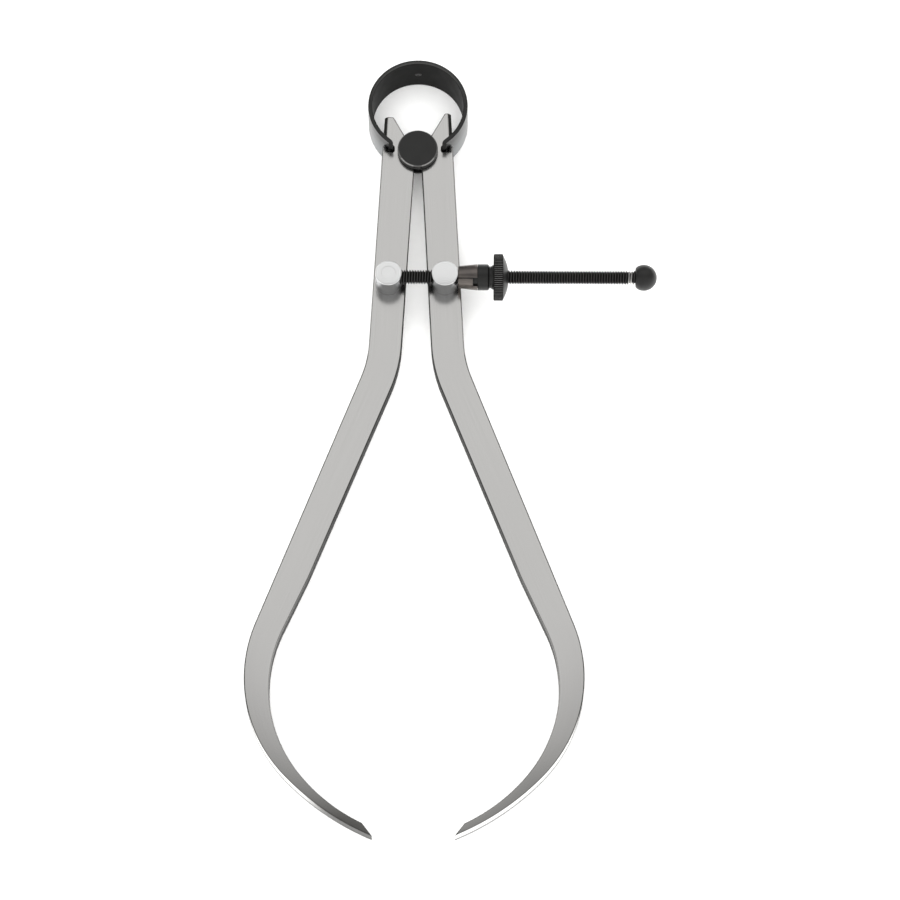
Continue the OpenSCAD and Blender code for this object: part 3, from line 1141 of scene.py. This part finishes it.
def thread_tree():
    """Geometry tree for a screw: a plain core with a ridge wound round it."""
    tree, given = node_tree(
        "screw thread",
        {
            "Core Radius": "Float",
            "Depth": "Float",
            "Pitch": "Float",
            "Length": "Float",
            "Material": "Material",
        },
    )
    turns = add(
        tree, "ShaderNodeMath", {0: given["Length"], 1: given["Pitch"]}, operation="DIVIDE"
    )
    half_depth = add(tree, "ShaderNodeMath", {0: given["Depth"], 1: 0.5}, operation="MULTIPLY")
    radius = add(
        tree, "ShaderNodeMath", {0: given["Core Radius"], 1: half_depth}, operation="ADD"
    )
    helix = add(
        tree,
        "GeometryNodeCurveSpiral",
        {
            "Resolution": 30,
            "Rotations": turns,
            "Start Radius": radius,
            "End Radius": radius,
            "Height": given["Length"],
        },
    )
    upright = add(tree, "GeometryNodeSetCurveNormal", {"Curve": helix}, mode="Z_UP")
    # the ridge's foot all but fills the pitch, and its flat crest takes a fifth of it
    root = add(tree, "ShaderNodeMath", {0: given["Pitch"], 1: 0.92}, operation="MULTIPLY")
    crest = add(tree, "ShaderNodeMath", {0: given["Pitch"], 1: 0.2}, operation="MULTIPLY")
    section = add(
        tree,
        "GeometryNodeCurvePrimitiveQuadrilateral",
        {"Height": given["Depth"], "Bottom Width": root, "Top Width": crest, "Offset": 0.0},
        mode="TRAPEZOID",
    )
    outward = add(
        tree,
        "GeometryNodeTransform",
        {"Geometry": section, "Rotation": (0, 0, math.pi / 2)},
    )
    ridge = add(
        tree,
        "GeometryNodeCurveToMesh",
        {"Curve": upright, "Profile Curve": outward, "Fill Caps": True},
    )
    both = add(tree, "GeometryNodeJoinGeometry", {"Geometry": ridge})
    tree.links.new(given["Geometry"], both.inputs["Geometry"])
    close_tree(tree, both, given["Material"])
    return tree


class CALIPER_OT_screw(bpy.types.Operator):
    """Builds the threaded adjusting screw and the ball on its end"""

    bl_idname = "caliper.screw"
    bl_label = "Build screw and ball"

    def execute(self, context):
        self.screw(context.scene.caliper_screw)
        self.ball()
        return {"FINISHED"}

    def screw(self, settings):
        """The core and its thread, made up the Z axis and then laid along the screw's line."""
        low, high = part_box("adjusting_screw")
        core = settings.crest - settings.depth
        start, end = low.x + 0.4 * MM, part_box("ball_knob")[0].x - 0.05 * MM
        # the core is a hair thicker than the ridge's foot, with a chamfer at both ends
        body, point, chamfer = core + 0.02 * MM, core - 0.2 * MM, 0.3 * MM
        whole = high.x - low.x
        profile = [
            (0, 0),
            (point, 0),
            (body, chamfer),
            (body, whole - chamfer),
            (point, whole),
            (0, whole),
        ]
        screw = turned("screw", profile, Z_AXIS, Vector((0, 0, low.x - start)), 30)
        grow(
            screw,
            thread_tree(),
            {
                "Core Radius": core,
                "Depth": settings.depth,
                "Pitch": settings.pitch,
                "Length": end - start,
                "Material": finish(dull_oxide_steel),
            },
        )
        bare_end = end - 0.9 * settings.pitch
        bare_start = bare_end - settings.bright_turns * settings.pitch
        crest = settings.crest - 0.05 * MM

        def lay(work):
            bmesh.ops.remove_doubles(work, verts=work.verts, dist=0.1 * SAME_POINT)
            for vertex in work.verts:
                x, y, z = vertex.co
                vertex.co = (start + z, SCREW_Y + y, SCREW_Z - x)
            bmesh.ops.recalc_face_normals(work, faces=work.faces)
            for face in work.faces:
                middle = face.calc_center_median()
                bare = bare_start < middle.x < bare_end
                face.material_index = 2 if bare else 1 if off_screw(middle) > crest else 0

        dress(screw, dull_oxide_steel, black_oxide_steel, bare_thread_steel)
        reshape(screw, lay)
        # the crests are rubbed a little
        own_float(screw, "wear_and_sheen", lambda vertex: 0.1)
        shade(screw, 30)
        hand_over(screw, "left_post", "adjusting_screw")

    def ball(self):
        """A turned ball, cut flat and drilled where the screw runs into it."""
        low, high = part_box("ball_knob")
        radius = (high.z - low.z) / 2
        centre = Vector((high.x - radius, SCREW_Y, SCREW_Z))
        flat = low.x - centre.x
        bore, bore_end = 2.02 * MM, 1.02 * MM
        first = math.acos(flat / radius)
        rim = radius * math.sin(first)
        profile = [
            (0, bore_end),
            (bore, bore_end),
            (bore, flat),
            (rim - 0.12 * MM, flat),
            (rim, flat + 0.1 * MM),
        ]
        # the first steps are taken up by the eased rim
        steps = 40
        for i in range(3, steps):
            angle = first * (1 - i / steps)
            profile.append((radius * math.sin(angle), radius * math.cos(angle)))
        profile.append((0, radius))
        ball = turned("ball", profile, X_AXIS, centre)
        dress(ball, black_oxide_steel)
        shade(ball)
        hand_over(ball, "left_post", "ball_knob")


def knurl_tree():
    """Geometry tree for a straight knurl: one tooth set round a circle about the X axis."""
    tree, given = node_tree(
        "straight knurl", {"Teeth": "Int", "Radius": "Float", "Material": "Material"}
    )
    ring = add(
        tree,
        "GeometryNodeMeshCircle",
        {"Vertices": given["Teeth"], "Radius": given["Radius"]},
    )
    upright = add(
        tree, "GeometryNodeTransform", {"Geometry": ring, "Rotation": (0, math.pi / 2, 0)}
    )
    place = add(tree, "GeometryNodeInputPosition")
    outward = add(
        tree,
        "FunctionNodeAlignRotationToVector",
        {"Vector": place},
        axis="Z",
        pivot_axis="X",
    )
    teeth = add(
        tree,
        "GeometryNodeInstanceOnPoints",
        {"Points": upright, "Instance": given["Geometry"], "Rotation": outward},
    )
    close_tree(tree, teeth, given["Material"])
    return tree


class CALIPER_OT_nut(bpy.types.Operator):
    """Builds the knurled nut with its split nose, and the ferrule that closes on it"""

    bl_idname = "caliper.nut"
    bl_label = "Build nut and ferrule"

    def execute(self, context):
        ferrule = cad_copy("nut_ferrule", "ferrule")
        soften(ferrule, 0.08 * MM)
        dress(ferrule, rolled_ferrule_steel)
        shade(ferrule)
        hand_over(ferrule, "right_post", "nut_ferrule")
        self.nut(context.scene.caliper_nut)
        return {"FINISHED"}

    def nut(self, settings):
        """The split nose as it is in the CAD, with a turned wheel and its teeth set on it."""
        valley = settings.wheel - settings.tooth
        dome_edge = valley - 0.15 * MM
        dome_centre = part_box("adjusting_nut")[1].x - settings.dome
        rim_end = dome_centre + math.sqrt(settings.dome**2 - dome_edge**2)
        rim_start = rim_end - settings.rim
        middle = Vector(((rim_start + rim_end) / 2, SCREW_Y, SCREW_Z))
        crest = settings.wheel - 0.1 * MM
        half = settings.rim / 2
        nut = cad_copy("adjusting_nut", "nut")
        soften(nut, 0.07 * MM, 1)
        self.close_up(nut, settings)
        teeth = self.teeth(settings, valley, middle)

        def rebuild(work):
            cut(work, (rim_start - 0.1 * MM, 0, 0), X_AXIS, clear_outer=True)
            rim_edges = [edge for edge in work.edges if len(edge.link_faces) == 1]
            bmesh.ops.triangle_fill(work, edges=rim_edges, use_beauty=True)
            self.wheel(work, settings, valley, rim_start, rim_end, dome_edge, dome_centre)
            work.from_mesh(teeth.data)
            bmesh.ops.recalc_face_normals(work, faces=work.faces)
            for face in work.faces:
                centre = face.calc_center_median()
                on_rim = abs(centre.x - middle.x) < half
                valleys = valley - 0.05 * MM < off_screw(centre) < crest
                face.material_index = 1 if on_rim and valleys else 0

        dress(nut, black_oxide_steel, dull_oxide_steel)
        reshape(nut, rebuild)
        bpy.data.objects.remove(teeth)

        def rubbed(vertex):
            """The crests are rubbed a little, and both ends of the teeth carry a painted glint."""
            if off_screw(vertex.co) <= crest:
                return 0.0
            at_end = abs(vertex.co.x - middle.x) > half - 2 * settings.rim_edge
            return 0.35 if at_end else 0.02

        own_float(nut, "wear_and_sheen", rubbed)
        shade(nut)
        hand_over(nut, "nut", "adjusting_nut")

    def close_up(self, nut, settings):
        """Brings the shoulder of the body up to the ferrule's mouth, a hair's width from it."""
        near = 0.1 * MM
        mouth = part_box("nut_ferrule")[1].x
        shoulder = min(
            vertex.co.x
            for vertex in nut.data.vertices
            if off_screw(vertex.co) > settings.collar - near
        )
        for vertex in nut.data.vertices:
            if abs(vertex.co.x - shoulder) < near:
                vertex.co.x += mouth + 0.06 * MM - shoulder

    def wheel(self, work, settings, valley, start, end, dome_edge, dome_centre):
        """The wheel under the teeth, with its domed back, bored for the screw."""
        edge = 0.1 * MM
        foot, sunk = settings.collar - 0.2 * MM, -0.15 * MM
        profile = [
            (settings.bore, sunk),
            (foot, sunk),
            (foot, 0),
            (valley - edge, 0),
            (valley, edge),
            (valley, end - start - edge),
            (valley - edge, end - start),
        ]
        steps = 24
        for i in range(steps + 1):
            r = dome_edge + (settings.bore - dome_edge) * i / steps
            profile.append((r, dome_centre + math.sqrt(settings.dome**2 - r * r) - start))
        lathe(work, profile, X_AXIS, Vector((start, SCREW_Y, SCREW_Z)), 144)

    def teeth(self, settings, valley, middle):
        """All the teeth of the knurl, in their place round the wheel."""
        teeth = new_piece("teeth", lambda work: self.tooth(work, settings, valley))
        grow(
            teeth,
            knurl_tree(),
            {
                "Teeth": settings.teeth,
                "Radius": valley,
                "Material": finish(black_oxide_steel),
            },
        )
        for vertex in teeth.data.vertices:
            vertex.co += middle
        return teeth

    def tooth(self, work, settings, valley):
        """One tooth along the X axis, standing up the Z axis, with both ends eased."""
        half = settings.rim / 2
        ease = settings.rim_edge
        base = 0.98 * math.pi * valley / settings.teeth
        crest = 0.22 * base
        root = -0.06 * MM
        rows = []
        for x_base, x_crest in (
            (-half, ease - half),
            (1.8 * ease - half, 1.8 * ease - half),
            (half - 1.8 * ease, half - 1.8 * ease),
            (half, half - ease),
        ):
            corners = (
                (x_base, -base, root),
                (x_crest, -crest, settings.tooth),
                (x_crest, crest, settings.tooth),
                (x_base, base, root),
            )
            rows.append([work.verts.new(corner) for corner in corners])
        for first, second in zip(rows, rows[1:]):
            for i in range(4):
                j = (i + 1) % 4
                work.faces.new((first[i], first[j], second[j], second[i]))
        work.faces.new(rows[0])
        work.faces.new(list(reversed(rows[-1])))
        bmesh.ops.recalc_face_normals(work, faces=work.faces)


# Studio


def studio_world(settings):
    """Soft walls round the tool: a ceiling that brightens to the back, and a bright front."""
    world = bpy.data.worlds.new("studio")
    world.use_nodes = True
    tree = world.node_tree
    tree.nodes.clear()
    place = add(tree, "ShaderNodeTexCoord").outputs["Generated"]
    way = add(tree, "ShaderNodeSeparateXYZ", {"Vector": place}).outputs
    # ceiling to the back, ceiling over the front, and walls: from where to where along Y each
    # changes, and from which brightness to which
    ceiling, over, wall = (
        add(
            tree,
            "ShaderNodeMapRange",
            {"Value": way["Y"], "From Min": a, "From Max": b, "To Min": dim, "To Max": bright},
            interpolation_type="SMOOTHSTEP",
        )
        for a, b, dim, bright in (
            (0.0, 0.3, 0.3, 1.0),
            (-0.05, -0.3, 0.3, 0.75),
            (0.3, -0.5, 0.4, 1.15),
        )
    )
    roof = add(tree, "ShaderNodeMath", {0: ceiling, 1: over}, operation="MAXIMUM")
    up = add(
        tree,
        "ShaderNodeMapRange",
        {"Value": way["Z"], "From Min": 0.35, "From Max": 0.75},
        interpolation_type="SMOOTHSTEP",
    )
    light = add(tree, "ShaderNodeMix", {"Factor": up, "A": wall, "B": roof}, data_type="FLOAT")
    strength = add(tree, "ShaderNodeMath", {0: light, 1: settings.sky}, operation="MULTIPLY")
    sky = add(
        tree, "ShaderNodeBackground", {"Color": linear("#FFFFFF"), "Strength": strength}
    )
    add(tree, "ShaderNodeOutputWorld", {"Surface": sky})
    bpy.context.scene.world = world


def matt_white_paper(settings):
    """Paper with a slight tooth: a matt near-white that takes soft shadows without a gloss."""
    material, tree = new_material("matt white paper")
    place = add(tree, "ShaderNodeTexCoord").outputs["Object"]
    # fibres clump about 2 mm across
    fibre = add(
        tree, "ShaderNodeTexNoise", {"Vector": place, "Scale": 1 / (2 * MM), "Detail": 3.0}
    )
    colour = add(
        tree,
        "ShaderNodeMix",
        {"Factor": fibre, "A": linear(settings.floor), "B": linear("#FCFCFB")},
        data_type="RGBA",
    )
    paper = add(
        tree,
        "ShaderNodeBsdfPrincipled",
        {"Base Color": colour, "Roughness": 0.9, "Specular IOR Level": 0.0},
    )
    add(tree, "ShaderNodeOutputMaterial", {"Surface": paper})
    return material


def pale_floor(settings):
    """A matt pale floor that the spring's back edge and both tips rest on."""
    spring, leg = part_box("bow_spring")[0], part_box("left_leg")[0]
    slope = (leg.z - spring.z) / (spring.y - leg.y)
    half = 6.0
    corners = ((-half, -half), (half, -half), (half, half), (-half, half))

    def build(work):
        work.faces.new(
            [work.verts.new((x, y, spring.z + (spring.y - y) * slope)) for x, y in corners]
        )

    floor = new_piece("floor", build)
    floor.data.materials.append(matt_white_paper(settings))


class CALIPER_OT_stage(bpy.types.Operator):
    """Sets the floor, the studio light and the camera"""

    bl_idname = "caliper.stage"
    bl_label = "Set stage"

    def execute(self, context):
        scene = context.scene
        settings = scene.caliper_stage
        scene.view_settings.view_transform = "Standard"
        studio_world(settings)
        pale_floor(settings)

        key = bpy.data.lights.new("key", "SUN")
        key.energy = settings.key
        key.angle = math.radians(100)
        lamp = bpy.data.objects.new("key", key)
        lamp.rotation_euler = (math.radians(8), math.radians(-5), 0)
        # it fills the floor; the metal mirrors only the walls and the ceiling
        lamp.visible_glossy = False
        scene.collection.objects.link(lamp)

        lens = bpy.data.cameras.new("camera")
        lens.lens = settings.lens
        lens.sensor_fit = "HORIZONTAL"
        lens.sensor_width = 36
        lens.clip_start = 0.01
        lens.clip_end = 50
        camera = bpy.data.objects.new("camera", lens)
        aim = FULCRUM + Vector(settings.aim)
        tilt = math.pi / 2 - settings.elevation
        camera.location = aim + settings.distance * Vector(
            (
                math.sin(tilt) * math.sin(settings.swing),
                -math.sin(tilt) * math.cos(settings.swing),
                math.cos(tilt),
            )
        )
        camera.rotation_euler = (tilt, 0, settings.swing)
        scene.collection.objects.link(camera)
        scene.camera = camera
        return {"FINISHED"}


STEPS = (
    CALIPER_OT_legs,
    CALIPER_OT_fulcrum,
    CALIPER_OT_bow_spring,
    CALIPER_OT_posts,
    CALIPER_OT_screw,
    CALIPER_OT_nut,
    CALIPER_OT_stage,
)


class CALIPER_PT_panel(bpy.types.Panel):
    """Lists the steps that build the caliper and its stage"""

    bl_idname = "CALIPER_PT_panel"
    bl_label = "Outside spring caliper"
    bl_space_type = "VIEW_3D"
    bl_region_type = "UI"
    bl_category = "Caliper"

    def draw(self, context):
        for step in STEPS:
            self.layout.operator(step.bl_idname)


def register():
    for name, group in GROUPS.items():
        bpy.utils.register_class(group)
        setattr(bpy.types.Scene, name, bpy.props.PointerProperty(type=group))
    for step in STEPS:
        bpy.utils.register_class(step)
    bpy.utils.register_class(CALIPER_PT_panel)


def unregister():
    bpy.utils.unregister_class(CALIPER_PT_panel)
    for step in reversed(STEPS):
        bpy.utils.unregister_class(step)
    for name, group in GROUPS.items():
        delattr(bpy.types.Scene, name)
        bpy.utils.unregister_class(group)


def main():
    register()
    for step in STEPS:
        group, name = step.bl_idname.split(".")
        getattr(getattr(bpy.ops, group), name)()


if __name__ == "__main__":
    main()
